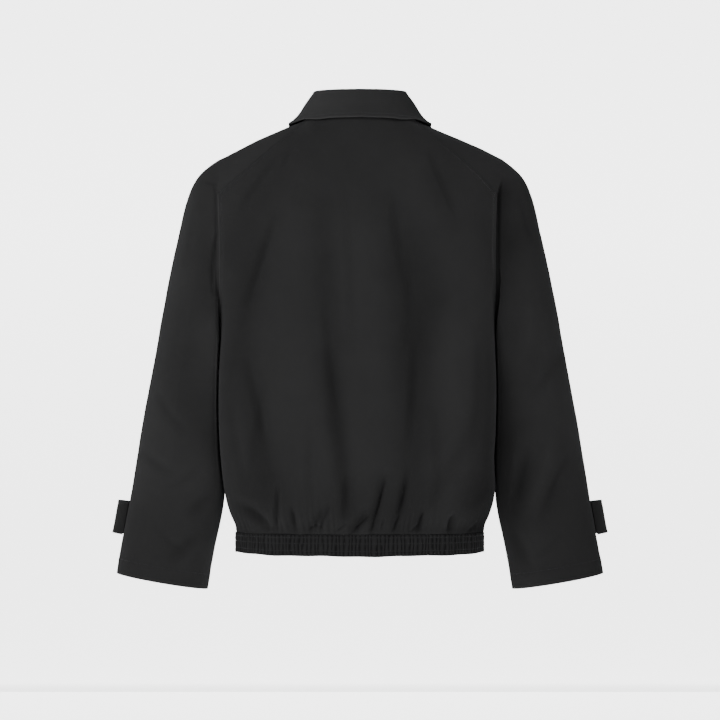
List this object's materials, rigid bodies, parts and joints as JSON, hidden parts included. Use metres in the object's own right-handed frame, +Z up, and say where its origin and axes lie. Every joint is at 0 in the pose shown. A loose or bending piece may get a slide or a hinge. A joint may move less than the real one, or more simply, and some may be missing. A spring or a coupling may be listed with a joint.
{
  "type": "harrington jacket",
  "caption": "Black waist-length cloth jacket with a turned-down collar, raglan sleeves, strapped open cuffs, a gathered hem band and a front zip, in its worn form.",
  "frame": {"origin": "on the centre line at the height of the neck's base, between the two shoulder seams' neck ends, where the wearer's shoulders hold the jacket", "axes": "+Z up; the front faces -Y; the wearer's left is +X"},
  "size_m": [0.747, 0.2462, 0.745],
  "materials": {
    "shell_cloth": "matt fine twill",
    "collar_cloth": "matt fine twill over a stiffener",
    "band_cloth": "matt fine twill, gathered",
    "zip_tape": "matt woven tape",
    "zip_metal": "dark satin",
    "button_plastic": "semi-gloss"
  },
  "bodies": {
    "jacket": {"back": "shell_cloth", "front_left": "shell_cloth", "front_right": "shell_cloth", "sleeve_left": "shell_cloth", "sleeve_right": "shell_cloth", "collar_stand": "collar_cloth", "collar_leaf": "collar_cloth", "hem_band": "band_cloth", "cuff_tab_left": "shell_cloth", "cuff_tab_right": "shell_cloth", "cuff_button_left": "button_plastic", "cuff_button_right": "button_plastic", "zip_tape_left": "zip_tape", "zip_tape_right": "zip_tape", "zip_teeth_left": "zip_metal", "zip_teeth_right": "zip_metal", "zip_slider": "zip_metal", "zip_box": "zip_metal"},
    "pull": {"zip_pull": "zip_metal"}
  },
  "joints": [
    {"name": "pull_swing", "type": "hinge", "parent": "jacket", "child": "pull", "pos_m": [0, -0.08884, -0.06412], "axis": [-1, 0, 0], "range_deg": [0, 150]}
  ]
}
